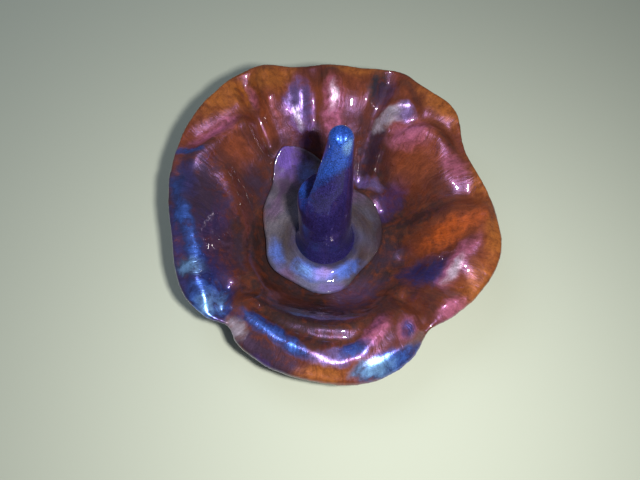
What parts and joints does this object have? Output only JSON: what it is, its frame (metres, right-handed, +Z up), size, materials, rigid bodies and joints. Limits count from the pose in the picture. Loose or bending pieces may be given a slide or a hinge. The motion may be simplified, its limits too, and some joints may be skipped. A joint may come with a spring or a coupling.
{
  "type": "ring dish",
  "caption": "Flower-shaped cast-resin ring dish: a ruffled petal dish, a pale inner whorl and an upright rolled-petal post that holds finger rings.",
  "frame": {"origin": "middle of the flat foot, on the surface that the dish stands on, under the post", "axes": "+Z up, -Y towards the front petal that rolls outwards, +X to the right seen from that petal"},
  "size_m": [0.1029, 0.1055, 0.0595],
  "materials": {
    "petal_resin": "gloss cast resin, copper-orange shifting to indigo pearl",
    "whorl_resin": "gloss cast resin, pale blue-grey pearl",
    "post_resin": "gloss cast resin, indigo with fine blue mica"
  },
  "bodies": {
    "root": {"petal_dish": "petal_resin", "inner_whorl": "whorl_resin", "ring_post": "post_resin"}
  },
  "joints": []
}
